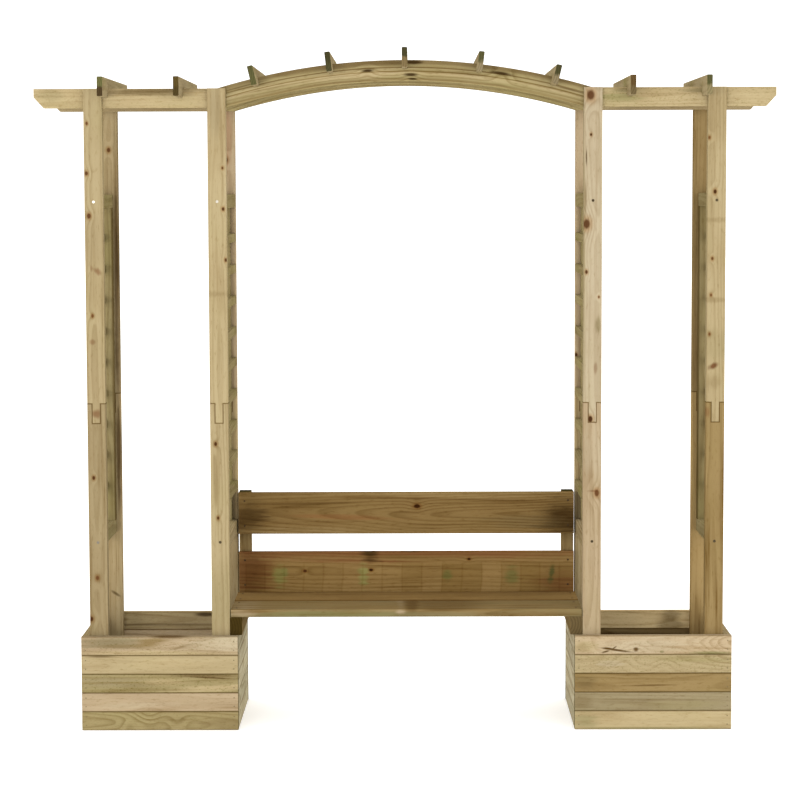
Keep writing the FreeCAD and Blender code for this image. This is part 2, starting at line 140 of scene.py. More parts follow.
class ArbourMetal(bpy.types.PropertyGroup):
    # Dark zinc paint, which also stands in as painted shade for the holes that the post screws sit in
    zinc_and_hole_shade: colour("Zinc", "Plated screws", lit(120, 104, 74))
    nail: colour("Nail", "Aged nail heads", lit(165, 148, 108))
    bench_screw: colour("Bench screw", "Stained screws of the bench", lit(112, 86, 48))
    nail_radius: length("Nail radius", "Radius of a nail head", 0.0022)
    nail_height: length("Nail height", "How far a nail head stands proud", 0.0008)
    nail_inset: length("Nail inset", "Distance of a nail from the end of its board", 0.015)
    slat_nail_radius: length("Slat nail radius", "Radius of a nail head on a slat", 0.00176)
    slat_nail_inset: length("Slat nail inset", "Distance of a nail from the end of its slat", 0.022)
    slat_nail_rise: length("Slat nail rise", "Distance of a nail from the middle of its slat", 0.007)
    screw_radius: length("Screw radius", "Radius of a screw head on a post", 0.005)
    screw_height: length("Screw height", "How far a screw head stands proud", 0.0015)
    shank_radius: length("Shank radius", "Radius of a screw's shank", 0.003)
    shank_length: length("Shank length", "Length of a screw under its head", 0.085)
    bench_screw_radius: length("Bench screw radius", "Radius of the bench's screw heads", 0.004)
    bench_screw_height: length("Bench screw height", "How far the bench's screw heads stand proud", 0.001)


class ArbourStudio(bpy.types.PropertyGroup):
    floor: colour("Floor", "Floor and backdrop", (0.94, 0.94, 0.93))
    ambient: number("Ambient light", "Light from all round", 1.5)
    key: number("Key light", "Soft box left of the camera", 175, unit="POWER")
    fill: number("Fill light", "Soft box right of the camera", 90, unit="POWER")
    camera_place: triple("Camera", "Place of the camera", (0.0272, -9.5073, 2.0074),
                         subtype="TRANSLATION", unit="LENGTH")
    camera_turn: triple("Camera turn", "Pitch, roll and yaw of the camera",
                        [math.radians(angle) for angle in (-4.8543, -0.1791, -0.2952)],
                        subtype="EULER", unit="ROTATION")
    lens: number("Lens", "Focal length", 113.79, unit="CAMERA")


def sums(operation):
    """Methods of Link for a sign of Python sums and for its reflected form."""
    return (lambda link, other: link.finish.maths(operation, link, other),
            lambda link, other: link.finish.maths(operation, other, link))


class Link:
    """A socket of a shader that can stand in Python sums."""

    def __init__(self, finish, socket):
        self.finish = finish
        self.socket = socket

    __add__, __radd__ = sums("ADD")
    __sub__, __rsub__ = sums("SUBTRACT")
    __mul__, __rmul__ = sums("MULTIPLY")
    __truediv__, __rtruediv__ = sums("DIVIDE")
    __gt__, __lt__ = sums("GREATER_THAN")

    def __abs__(self):
        return self.finish.maths("ABSOLUTE", self)


class Finish:
    """A material under construction."""

    def __init__(self, name):
        self.material = bpy.data.materials.new(name)
        self.material.use_nodes = True
        self.tree = self.material.node_tree
        self.shader = self.tree.nodes["Principled BSDF"]

    def node(self, kind, settings=None, inputs=None, output=0):
        node = self.tree.nodes.new("ShaderNode" + kind)
        for setting, value in (settings or {}).items():
            setattr(node, setting, value)
        for key, value in (inputs or {}).items():
            self.feed(node.inputs[key], value)
        return Link(self, node.outputs[output])

    def feed(self, socket, value):
        if isinstance(value, Link):
            self.tree.links.new(value.socket, socket)
        else:
            socket.default_value = value

    def maths(self, operation, *values):
        return self.node("Math", {"operation": operation}, dict(enumerate(values)))

    def vector(self, operation, *values, output="Vector"):
        return self.node("VectorMath", {"operation": operation}, dict(enumerate(values)), output)

    def root(self, value):
        return self.maths("SQRT", value)

    def larger(self, first, second):
        return self.maths("MAXIMUM", first, second)

    def smaller(self, first, second):
        return self.maths("MINIMUM", first, second)

    def join(self, x, y, z):
        return self.node("CombineXYZ", inputs={0: x, 1: y, 2: z})

    def split(self, vector):
        node = self.node("SeparateXYZ", inputs={0: vector}).socket.node
        return [Link(self, socket) for socket in node.outputs]

    def dice(self, number):
        """Three even draws, always the same for one number."""
        return self.split(self.node("TexWhiteNoise", {"noise_dimensions": "1D"},
                                    {"W": number}, output="Color"))

    def step(self, value, low, high):
        """Smooth rise from 0 at low to 1 at high."""
        return self.node("MapRange", {"interpolation_type": "SMOOTHSTEP"},
                         {"Value": value, "From Min": low, "From Max": high})

    def noise(self, vector, scale=1.0, detail=2.0, roughness=0.5, output="Fac"):
        return self.node("TexNoise", inputs={
            "Vector": vector, "Scale": scale, "Detail": detail, "Roughness": roughness}, output=output)

    def blend(self, factor, first, second, kind="MIX"):
        def solid(value):
            return value if isinstance(value, Link) else (*value, 1)
        return self.node("Mix", {"data_type": "RGBA", "blend_type": kind},
                         {0: factor, 6: solid(first), 7: solid(second)}, output=2)

    def tint(self, factor, base, paint):
        """Lay a see-through paint over a base."""
        return self.blend(factor, base, paint, "MULTIPLY")

    def principled(self, **inputs):
        for name, value in inputs.items():
            self.feed(self.shader.inputs[name.replace("_", " ")], value)
        return self.material


def paint_of(tone):
    """Paint of a tone, given by its name or by its name and how bright it is."""
    name, share = tone if isinstance(tone, tuple) else (tone, 1.0)
    return shade(getattr(bpy.context.scene.arbour_timber, name), share)


# Which coordinate runs along the grain, across it and into the timber
GRAIN = {"X": (0, 2, 1), "Y": (1, 2, 0), "Z": (2, 0, 1)}

# See-through paints, laid over the tone of the timber or steel
LATE_WOOD = (0.42, 0.32, 0.16)
DARK_STREAK = (0.5, 0.4, 0.24)
PALE_FIBRE = (1.22, 1.2, 1.15)
MOTTLING = (0.62, 0.53, 0.4)
DARK_FLECK = (0.55, 0.46, 0.3)
GREEN_SALTS = (0.78, 0.84, 0.58)
MOULD_SPECK = (0.5, 0.52, 0.3)
DARKER_BOARD = (0.5, 0.46, 0.4)
STACK_BAY = (0.7, 0.66, 0.5)
STACK_LATH = (0.6, 0.5, 0.34)
SEAM_LINE = (0.55, 0.48, 0.34)
JOINT_LINE = (0.3, 0.22, 0.12)
GAP_SHADOW = (0.42, 0.33, 0.22)
# Painted shade where stacked boards meet
BOARD_JOINT_SHADE = (0.42, 0.35, 0.22)
WORN_EDGE = (1.16, 1.14, 1.1)
RESIN_RING = (0.72, 0.5, 0.3)
END_RINGS = (0.45, 0.45, 0.45)
STEEL_SPECK = (0.55, 0.5, 0.42)
STEEL_GRIME = (0.4, 0.36, 0.28)
# Paler steel on some heads, and a painted glint on the brightest
BRIGHT_STEEL_AND_GLINT = (0.86, 0.81, 0.7)


class TimberFinish(Finish):
    """Softwood that follows the grain of one piece, its colour laid on step by step."""

    def __init__(self, name, grain, seed, layers, stiles):
        super().__init__(name)
        self.wood = bpy.context.scene.arbour_timber
        self.low, self.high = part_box(name)
        self.place = self.node("TexCoord", output="Object")
        self.axes = self.split(self.place)
        self.arch = grain == "arch"
        if self.arch:
            self.follow_arch()
        else:
            self.follow_axis(GRAIN[grain])
        self.layers = layers
        self.board = 0.0
        if layers:
            self.stack_boards(*layers)
        self.upright = None
        if stiles:
            self.stand_stiles(*stiles)
        number = self.board * 7.31 + seed * 3.17
        self.chance = self.dice(number)
        self.travel = self.along + number
        self.drift = self.split(self.grainy(1.3, 6, 1.0, output="Color"))
        self.fibres = self.grainy(6, 420)
        self.streak = self.grainy(2.2, 60, 3.0, 0.6)
        self.mottle = self.grainy(3, 9, 3.0, 0.55)
        self.fleck = self.grainy(34, 130, 2.0, 0.6)
        self.ragged = (self.streak - 0.5) * 0.7 + (self.mottle - 0.5) * 0.5

    def follow_arch(self):
        """Grain coordinates round the curve of an arch."""
        x, y, z = self.axes
        height = z - ARCH_CENTRE
        self.along = self.maths("ARCTAN2", x, height) * ARCH_RADIUS
        self.across = self.root(x * x + height * height) - (ARCH_RADIUS - ARCH_HALF_HEIGHT)
        self.depth = y - (self.low.y + self.high.y) / 2
        self.end_axis, self.half_across = 0, ARCH_HALF_HEIGHT
        self.half_depth = (self.high.y - self.low.y) / 2

    def follow_axis(self, order):
        """Grain coordinates along the fibres, and two ways across them from the section's middle."""
        middle, half = (self.low + self.high) / 2, (self.high - self.low) / 2
        self.along, self.across, self.depth = [self.axes[index] - middle[index] for index in order]
        self.end_axis, self.half_across, self.half_depth = order[0], half[order[1]], half[order[2]]

    def stack_boards(self, bottom, pitch):
        """Start the section anew on each board."""
        level = (self.axes[2] - bottom) / pitch
        self.board = self.maths("FLOOR", level)
        self.across = (level - self.board - 0.5) * pitch
        self.half_across = pitch / 2

    def stand_stiles(self, near, far, top):
        """Turn the grain of the upright members."""
        x, y, z = self.axes
        self.upright = (abs(x) > near) * (abs(x) < far) * (z < top)
        self.along = self.along + (z - self.along) * self.upright
        self.across = self.across + (y - self.across) * self.upright
        self.board = self.board * (1 - self.upright)

    def by_board(self, values):
        """The value of the board that a point lies on."""
        if not isinstance(values, list):
            return values
        value = values[0]
        for index, (lower, upper) in enumerate(zip(values, values[1:]), start=1):
            value = (self.board > index - 0.5) * (upper - lower) + value
        return value

    def grainy(self, length_scale, width_scale, detail=2.0, roughness=0.5, output="Fac"):
        """Noise drawn out along the grain."""
        point = self.join(self.travel * length_scale, self.across * width_scale, self.depth * width_scale)
        return self.noise(point, 1.0, detail, roughness, output)

    def lay(self, share, paint):
        """Lay a see-through paint over the colour so far."""
        self.base = self.tint(share, self.base, paint)

    def grow_knots(self, knots, wild_knots):
        """Knots turn the rings aside. Those of the table have their places, and wild ones come anywhere."""
        self.bulge, self.halo, self.cores = 0.0, 0.0, []
        stretch = [1.0, 1.0, 1.0]
        stretch[self.end_axis] = 0.72
        for x, z, radius, darkness in knots:
            offset = self.vector("SUBTRACT", self.place, (x, self.low.y, z))
            offset = self.vector("MULTIPLY", offset, tuple(share / radius for share in stretch))
            distance = self.vector("LENGTH", offset, output="Value")
            self.bulge = self.maths("EXPONENT", distance * distance * -0.16) * (radius * 1.1) + self.bulge
            if darkness:
                self.add_core(distance + self.ragged * 0.8, darkness)
        if wild_knots:
            point = self.join(self.travel * 4.5, self.across * 8, self.depth * 8)
            cell = self.node("TexVoronoi", {"feature": "F1"}, {"Vector": point, "Scale": 1.0})
            draw = self.split(Link(self, cell.socket.node.outputs["Color"]))[0]
            radius = self.larger(draw * 0.05 + (0.03 * wild_knots - 0.02), 0.004)
            self.add_core(cell / radius + self.ragged * 0.6, 0.5)

    def add_core(self, rim, darkness):
        """Middle of a knot and the resin round it; rim is 1 at the knot's edge."""
        self.cores.append((1 - self.step(rim, 0.5, 1.05), darkness))
        self.halo = self.larger(1 - self.step(rim, 0.8, 2.0), self.halo)

    def grow_rings(self, ring_scale, taper, pith):
        """Year rings round a pith that lies beside the section and drifts along the board."""
        ring_across = (self.across - (self.chance[0] - 0.5) * (2 * pith[0])
                       + (self.drift[0] - 0.5) * 0.05 + self.along * 0.006)
        ring_depth = (self.depth + pith[1] + self.chance[1] * 0.02 + (self.drift[1] - 0.5) * 0.03
                      + self.along * self.by_board(taper))
        reach = self.root(ring_across * ring_across + ring_depth * ring_depth) + self.bulge
        width = self.wood.ring_width * ring_scale
        turn = self.maths("FRACT", (reach + (self.mottle - 0.5) * 0.004) / width)
        self.late = self.step(turn, 0.3, 0.85) * (1 - self.step(turn, 0.86, 1.0))

    def colour_boards(self, tone):
        tones = tone if isinstance(tone, list) else [tone]
        self.base = paint_of(tones[0])
        for index, upper_tone in enumerate(tones[1:], start=1):
            self.base = self.blend(self.board > index - 0.5, self.base, paint_of(upper_tone))

    def stain_patches(self, patches):
        """Patches of another tone, feathered along the fibres, each on its own board."""
        feathered = (self.streak - 0.5) * 2.2 + (self.mottle - 0.5) * 1.2 + (self.fleck - 0.5) * 0.6
        for x, z, half_length, half_height, tone, strength, *slope in patches:
            aside = (self.along if self.arch else self.axes[0]) - x
            rise = (self.across if self.arch else self.axes[2]) - z - aside * sum(slope)
            rise = rise / half_height
            aside = aside / half_length
            rim = self.root(aside * aside + rise * rise) + feathered * min(1.0, half_height / 0.02)
            inside = (1 - self.step(rim, 0.3, 1.25)) * strength
            if self.layers:
                bottom, pitch = self.layers
                inside = inside * self.maths("COMPARE", self.board, math.floor((z - bottom) / pitch), 0.5)
            self.base = self.blend(inside, self.base, paint_of(tone))

    def show_grain(self, rings, streaks, green, flecks, specks, spread):
        """Rings, streaks, fibres, flecks and the green of the treatment."""
        ring_share = (self.grainy(2, 12) * 1.3 + 0.1) * (abs(self.bulge) * 9 + self.by_board(rings))
        self.lay(self.late * ring_share, LATE_WOOD)
        self.lay(self.step(self.streak, 0.5, 0.74) * streaks, DARK_STREAK)
        self.lay(self.step(self.fibres, 0.3, 0.7) * 0.16, PALE_FIBRE)
        self.lay(self.step(self.mottle, 0.44, 0.72) * 0.3, MOTTLING)
        self.lay(self.step(self.fleck, 0.52, 0.8) * flecks, DARK_FLECK)
        salts = self.noise(self.join(self.travel * 2.4 + 9, self.across * 7, self.depth * 7), 1.0, 3.0, 0.6)
        self.lay(self.step(salts, 0.45, 0.75) * green, GREEN_SALTS)
        if specks:
            self.lay(self.step(self.grainy(110, 190, 1.0), 0.58, 0.68) * self.by_board(specks), MOULD_SPECK)
        if spread:
            self.lay(self.chance[2] * spread, DARKER_BOARD)

    def mark_laths(self, strength):
        """Marks on a board's lower half of the laths between which it was stacked to dry."""
        stack = self.axes[0] / LATH_SPACING + self.drift[0] * 0.4
        low_part = 1 - self.step(self.across, 0.02, 0.05)
        lath = self.step(abs(self.maths("FRACT", stack) - 0.5), 0.42, 0.5)
        self.lay(self.dice(self.maths("FLOOR", stack))[0] * low_part * strength, STACK_BAY)
        self.lay(lath * low_part * (strength * 0.4), STACK_LATH)

    def draw_seam(self, height):
        self.lay(1 - self.step(abs(self.across - height), 0.0006, 0.003), SEAM_LINE)

    def draw_joint(self, middle_x, half_tongue, foot, shoulder):
        """Outline of a tongue in its slot and of the shoulders beside it."""
        x, _, z = self.axes
        aside = abs(x - middle_x) - half_tongue
        tongue = self.larger(abs(self.larger(aside, foot - z)), z - shoulder)
        ledge = self.larger(abs(z - shoulder), 0 - aside)
        line = self.smaller(tongue, ledge) + (self.streak - 0.5) * 0.002
        self.lay((1 - self.step(line, 0.001, 0.003)) * 0.85, JOINT_LINE)

    def draw_gaps(self, gaps):
        for axis, position, reach in gaps:
            line = abs(self.axes[axis] - position) + (self.mottle - 0.5) * reach * 0.6
            self.lay((1 - self.step(line, reach * 0.5, reach)) * 0.8, GAP_SHADOW)

    def shade_joints_and_wear_edges(self):
        """Painted shade in the joints of stacked boards; on other pieces, edges worn pale."""
        rim = self.smaller(abs(self.across) - self.half_across, abs(self.depth) - self.half_depth)
        if self.layers:
            self.lay(self.step(rim, -0.0045, -0.0008) * 0.75, BOARD_JOINT_SHADE)
        else:
            self.lay(self.step(rim, -0.004, -0.0005) * 0.5, WORN_EDGE)

    def colour_knots(self):
        """A resinous ring, and a middle between rust and nearly black."""
        self.lay(self.halo * 0.6, RESIN_RING)
        self.hard = 0.0
        for core, darkness in self.cores:
            middle = [warm + (dark - warm) * darkness for warm, dark in zip(self.wood.rust, self.wood.knot)]
            self.base = self.blend(core * (0.75 + 0.25 * darkness), self.base, middle)
            self.hard = self.larger(core, self.hard)

    def saw_ends(self, end_tone, foot_tone):
        """Sawn ends show the rings and drink more of the treatment."""
        facing = abs(self.split(self.node("TexCoord", output="Normal"))[self.end_axis])
        sawn = self.step(facing, 0.93, 0.97) if self.arch else self.step(facing, 0.6, 0.8)
        if self.upright is not None:
            sawn = sawn * (1 - self.upright)
        paint = paint_of(end_tone)
        if foot_tone:
            upper = self.step(self.across + self.ragged * 0.03, -0.008, 0.006)
            paint = self.blend(upper, paint_of(foot_tone), paint)
        paint = self.tint(self.late * 0.5 + self.mottle * 0.4, paint, END_RINGS)
        self.base = self.blend(sawn * 0.92, self.base, paint)

    def planed(self):
        """The finished material, its late wood and fibres raised a little."""
        relief = self.late * 0.6 + self.fibres * 0.4 - self.hard * 0.6
        bump = self.node("Bump", inputs={
            "Strength": 0.6, "Distance": self.wood.relief, "Height": relief})
        return self.principled(Base_Color=self.base, Roughness=0.72 + (self.fibres - 0.5) * 0.16, Normal=bump,
                               Specular_IOR_Level=0.0)


def timber(name, grain, tone, seed=0, layers=None, stiles=None, knots=(), patches=(), rings=0.35,
           ring_scale=1.0, taper=0.0, pith=(0.02, 0.06), streaks=0.35, green=0.2, flecks=0.5, specks=0.0,
           wild_knots=0.4, spread=0.0, end_tone="end_grain", foot_tone=None, seam=None, laths=0.0,
           joint=None, gaps=()):
    """Planed softwood for one piece of the frame.

    tone, rings, taper and specks are one value, or a list with one for each board from the ground up.
    layers are the height of the lowest board and the distance from board to board.
    stiles are how near and how far out the upright members of a panel lie, and how high they reach.
    knots are (x, z, radius, darkness) on the front face; one without darkness only turns the rings,
    and one with a radius below 0 turns them the other way.
    patches are (x, z, half length, half height, tone, strength) on the front face, with a slope at the
    end for one that slants. On an arch x follows its curve and z is the height over its middle line.
    pith is how far aside and how deep behind the section the middle of the rings lies.
    joint is the middle, half width, foot and shoulder of the tongue in a post.
    seam is the height of a fine dark line over the middle of the section.
    gaps are (axis, position, reach) of dark lines where a board meets its neighbour.
    foot_tone is the tone of the lower half of a sawn end.
    The other values say how strong a mark is.
    """
    wood = TimberFinish(name, grain, seed, layers, stiles)
    wood.grow_knots(knots, wild_knots)
    wood.grow_rings(ring_scale, taper, pith)
    wood.colour_boards(tone)
    wood.stain_patches(patches)
    wood.show_grain(rings, streaks, green, flecks, specks, spread)
    if laths:
        wood.mark_laths(laths)
    if seam is not None:
        wood.draw_seam(seam)
    if joint:
        wood.draw_joint(*joint)
    wood.draw_gaps(gaps)
    wood.shade_joints_and_wear_edges()
    wood.colour_knots()
    wood.saw_ends(end_tone, foot_tone)
    return wood.planed()


def dress(name, material):
    """Give a frame node its finish."""
    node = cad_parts[name]
    node.data.materials.clear()
    node.data.materials.append(material)


def steel(name, paint, grime=0.7, pale_heads_and_glint=()):
    """Dull plated steel with grime; the last argument lists places of heads painted bright, and how much:
    paler steel, and on the brightest head a painted glint.
    """
    finish = Finish(name)
    place = finish.node("TexCoord", output="Object")
    wear = finish.noise(place, 900.0, 3.0, 0.6)
    patina = finish.noise(place, 7.0, 1.0)
    base = finish.tint(finish.step(wear, 0.35, 0.7), paint, STEEL_SPECK)
    base = finish.tint(finish.step(patina, 0.4, 0.6) * grime, base, STEEL_GRIME)
    for head, share in pale_heads_and_glint:
        offset = finish.vector("DISTANCE", place, head, output="Value")
        base = finish.blend((1 - finish.step(offset, 0.012, 0.016)) * share, base, BRIGHT_STEEL_AND_GLINT)
    bump = finish.node("Bump", inputs={"Strength": 0.3, "Distance": 0.0001, "Height": wear})
    return finish.principled(Base_Color=base, Metallic=0.25, Roughness=0.5 + wear * 0.2, Normal=bump,
                             Specular_IOR_Level=0.15)


def deselect():
    for thing in bpy.context.selected_objects:
        thing.select_set(False)


def select_faces(mesh, test):
    """Select the faces whose middle and normal pass a test, in edit mode."""
    bpy.ops.mesh.select_mode(type="FACE")
    bpy.ops.mesh.select_all(action="DESELECT")
    shape = bmesh.from_edit_mesh(mesh)
    for face in shape.faces:
        face.select = test(face.calc_center_median(), face.normal)
    shape.select_flush(True)
    bmesh.update_edit_mesh(mesh)


def domed_disc(name, radius, height, sides, rim_share=0.6, slope_share=0.35):
    """Disc with a raised middle, looking along -Y, its back on the plane Y = 0."""
    rim = height * rim_share
    deselect()
    bpy.ops.mesh.primitive_cylinder_add(vertices=sides, radius=radius, depth=rim,
                                        location=(0, -rim / 2, 0), rotation=(math.pi / 2, 0, 0))
    head = bpy.context.active_object
    head.name = name
    bpy.ops.object.transform_apply(location=True, rotation=True, scale=True)
    bpy.ops.object.mode_set(mode="EDIT")
    select_faces(head.data, lambda middle, normal: normal.y < -0.9)
    bpy.ops.mesh.inset(thickness=radius * slope_share, depth=0)
    bpy.ops.transform.translate(value=(0, rim - height, 0))
    bpy.ops.object.mode_set(mode="OBJECT")
    return head


def screw_head(name, radius, height, shank_radius=0.0, shank_length=0.0):
    """Domed head with a cross recess, and its shank where one is asked for."""
    head = domed_disc(name, radius, height, 20)
    if shank_length:
        bpy.ops.object.mode_set(mode="EDIT")
        select_faces(head.data, lambda middle, normal: normal.y > 0.9)
        bpy.ops.mesh.inset(thickness=radius - shank_radius, depth=0)
        bpy.ops.mesh.extrude_region_move(TRANSFORM_OT_translate={"value": (0, shank_length, 0)})
        bpy.ops.object.mode_set(mode="OBJECT")
    for width, rise in ((RECESS_LENGTH, RECESS_WIDTH), (RECESS_WIDTH, RECESS_LENGTH)):
        deselect()
        bpy.ops.mesh.primitive_cube_add(size=1, location=(0, -height, 0),
                                        scale=(radius * width, height * RECESS_DEPTH, radius * rise))
        cutter = bpy.context.active_object
        deselect()
        head.select_set(True)
        bpy.context.view_layer.objects.active = head
        recess = head.modifiers.new("recess", "BOOLEAN")
        recess.operation = "DIFFERENCE"
        recess.solver = "EXACT"
        recess.object = cutter
        bpy.ops.object.modifier_apply(modifier="recess")
        bpy.data.objects.remove(cutter)
    bpy.ops.object.shade_smooth_by_angle(angle=SMOOTH_ANGLE)
    return head


def place_heads(name, pattern, places, material):
    """Copies of a head at points, each turned to look along its direction, as one piece."""
    copies = []
    for point, look in places:
        copy = pattern.copy()
        copy.data = pattern.data.copy()
        bpy.context.scene.collection.objects.link(copy)
        turn = Vector((0, -1, 0)).rotation_difference(Vector(look)).to_matrix().to_4x4()
        copy.data.transform(Matrix.Translation(point) @ turn)
        copies.append(copy)
    bpy.data.objects.remove(pattern)
    deselect()
    for copy in copies:
        copy.select_set(True)
    bpy.context.view_layer.objects.active = copies[0]
    bpy.ops.object.join()
    piece = bpy.context.active_object
    piece.name = name
    piece.data.materials.clear()
    piece.data.materials.append(material)
    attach(piece, "root")
    return piece


def place_nails(name, radius, places, metal):
    """Nail heads at points, as one piece named after the kind of nail."""
    head = domed_disc(name, radius, metal.nail_height, 10)
    bpy.ops.object.shade_smooth_by_angle(angle=SMOOTH_ANGLE)
    place_heads(f"{name}s", head, places, steel(f"{name}_steel", tuple(metal.nail), 0.2))


class ARBOUR_OT_planters(bpy.types.Operator):
    """Finish the boards of both planters and nail them together"""
    bl_idname = "arbour.planters"
    bl_label = "Planters"

    # From the lowest board up
    RINGS = {"left_front": [0.42, 0.2, 0.3, 0.12, 0.25], "right_front": [0.15, 0.2, 0.3, 0.22, 0.2]}
    TAPERS = {"left_front": [0.05, 0.0, 0.0, 0.01, 0.0], "right_front": [0.0, 0.0, 0.0, 0.015, 0.0]}
    SPECKS = {"left_front": [0.2, 0.1, 0.5, 0.1, 0.4], "right_front": [0.1, 0.1, 0.1, 0.4, 0.3]}
    TONES = {
        "left_front": [("olive", 1.22), ("sand", 1.06), ("olive", 1.15), ("straw", 1.01), "sand"],
        "right_front": [("straw", 1.14), ("grey", 1.03), ("umber", 1.28), ("straw", 0.97), ("sand", 1.15)],
        # The upper back boards are painted paler than their timber, painted light against the shade inside
        # the planters
        "left_back": ["tan", "olive", ("umber", 1.4), ("sand", 1.5), ("tan", 1.35)],
        "right_back": ["tan", "olive", ("grey", 1.2), ("umber", 0.95), ("tan", 1.95)],
        # The inner walls are painted paler than their timber, painted light against the shade inside the
        # planters
        "left_inner": [("sage_lightened_for_shade", 1.45), ("sage_lightened_for_shade", 1.25), ("sage_lightened_for_shade", 1.5), ("sage_lightened_for_shade", 1.4), ("sage_lightened_for_shade", 1.2)],
        "right_inner": [("sage_lightened_for_shade", 1.25), ("sage_lightened_for_shade", 1.45), ("sage_lightened_for_shade", 1.5), ("sage_lightened_for_shade", 1.3), ("sage_lightened_for_shade", 1.4)],
        "left_outer": [("tan", 1.1), ("grey", 1.1), "straw", ("olive", 1.2), ("tan", 1.1)],
        "right_outer": [("olive", 1.2), ("tan", 1.1), ("grey", 1.1), "straw", ("tan", 1.1)],
    }
    PATCHES = {
        "left_front": (
            (-1.09, 0.33, 0.18, 0.03, ("grey", 0.95), 0.95), (-1.05, 0.315, 0.1, 0.01, "umber", 0.5, 0.02),
            (-0.8, 0.32, 0.1, 0.006, ("umber", 0.95), 0.6, 0.28),
            (-0.945, 0.328, 0.065, 0.022, ("umber", 1.15), 0.85, 0.15),
            (-0.7, 0.318, 0.17, 0.034, "cream", 0.95, 0.1),
            (-0.875, 0.35, 0.075, 0.008, ("bark", 1.1), 0.8),
            (-0.94, 0.288, 0.4, 0.011, ("straw", 1.1), 0.8), (-1.13, 0.276, 0.06, 0.004, "bark", 0.6),
            (-0.75, 0.205, 0.17, 0.009, ("umber", 0.8), 0.9, -0.03),
            (-0.72, 0.196, 0.1, 0.004, ("bark", 0.9), 0.8, -0.05),
            (-0.7, 0.157, 0.22, 0.012, ("straw", 1.15), 0.9, 0.05),
            (-0.9, 0.18, 0.1, 0.012, ("tan", 1.2), 0.6),
            (-0.98, 0.095, 0.16, 0.012, ("cream", 1.05), 0.5, 0.02),
            (-0.88, 0.25, 0.16, 0.02, ("straw", 1.15), 0.5),
            (-1.1, 0.175, 0.16, 0.025, ("grey", 0.95), 0.5), (-0.66, 0.025, 0.1, 0.03, ("umber", 0.9), 0.5)),
        "right_front": (
            (0.9, 0.31, 0.18, 0.034, "cream", 0.7),
            (0.775, 0.297, 0.062, 0.0048, ("bark", 0.9), 0.95, -0.14),
            (0.742, 0.303, 0.022, 0.0045, ("bark", 0.9), 0.95, -0.05),
            (0.735, 0.291, 0.016, 0.004, ("bark", 0.9), 0.9, 0.25),
            (0.768, 0.306, 0.01, 0.004, ("bark", 0.9), 0.8, 0.6),
            (0.847, 0.299, 0.011, 0.0095, ("bark", 1.1), 0.95), (0.943, 0.29, 0.01, 0.006, "moss", 0.6),
            (1.12, 0.284, 0.1, 0.009, ("moss", 1.2), 0.7),
            (1.05, 0.262, 0.18, 0.012, ("olive", 1.2), 0.7, -0.04),
            (0.66, 0.31, 0.05, 0.02, ("olive", 1.3), 0.5), (0.75, 0.244, 0.05, 0.016, ("cream", 0.9), 0.5),
            (0.66, 0.175, 0.05, 0.03, ("umber", 0.7), 0.5),
            (0.9, 0.165, 0.1, 0.004, ("bark", 1.1), 0.7, 0.02),
            (0.65, 0.105, 0.05, 0.03, ("umber", 0.8), 0.5), (0.95, 0.095, 0.2, 0.018, "olive", 0.5),
            (0.66, 0.035, 0.06, 0.035, "moss", 0.4), (0.9, 0.004, 0.4, 0.006, "moss", 0.5)),
        "left_back": (
            (-0.785, 0.339, 0.045, 0.01, ("bark", 0.5), 0.85), (-0.95, 0.3, 0.3, 0.006, ("bark", 0.9), 0.5)),
        # The soft dark mark at x 1.03 on the right back wall is a painted shadow
        "right_back": (
            (1.03, 0.318, 0.045, 0.09, ("umber", 0.85), 0.6), (0.9, 0.255, 0.3, 0.012, ("bark", 0.6), 0.6)),
    }
    KNOTS = {
        "left_front": ((-1.03, 0.02, 0.009, 0), (-0.955, 0.05, 0.016, 0), (-0.85, 0.03, 0.012, 0)),
        "right_front": (
            (0.847, 0.299, 0.012, 0), (1.215, 0.322, -0.034, 0), (0.648, 0.314, 0.016, 0),
            (0.8, 0.25, 0.014, 0), (0.95, 0.24, 0.012, 0)),
    }
    # How far up a board its nails are
    NAIL_SHARES = (0.27, 0.73)

    def execute(self, context):
        for seed, (wall, tones) in enumerate(self.TONES.items()):
            name = f"planter_{wall}_boards"
            grain = "X" if wall.endswith(("front", "back")) else "Y"
            wild_knots, streaks = (0, 0.45) if wall.endswith("front") else (0.4, 0.5)
            material = timber(name, grain, tones, DRAWS["planters"] + seed, (0, COURSE_PITCH),
                              knots=self.KNOTS.get(wall, ()), patches=self.PATCHES.get(wall, ()),
                              rings=self.RINGS.get(wall, 0.45), taper=self.TAPERS.get(wall, 0.03),
                              specks=self.SPECKS.get(wall, 0.2), wild_knots=wild_knots, streaks=streaks)
            dress(name, material)
        for side in ("left", "right"):
            for row, grain in (("floor_battens", "Y"), ("floor_boards", "X")):
                name = f"planter_{side}_{row}"
                dress(name, timber(name, grain, "umber", DRAWS["floors"]))
        self.nail_boards(context.scene.arbour_metal)
        return {"FINISHED"}

    def nail_boards(self, metal):
        """Two nails through each end of a front or back board into the side wall."""
        places = []
        for side in ("left", "right"):
            for end, look in (("front", -1), ("back", 1)):
                low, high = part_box(f"planter_{side}_{end}_boards")
                y = low.y if look < 0 else high.y
                for course in range(COURSES):
                    for share in self.NAIL_SHARES:
                        z = (course + share) * COURSE_PITCH
                        for x in (low.x + metal.nail_inset, high.x - metal.nail_inset):
                            places.append(((x, y, z), (0, look, 0)))
        place_nails("planter_nail", metal.nail_radius, places, metal)


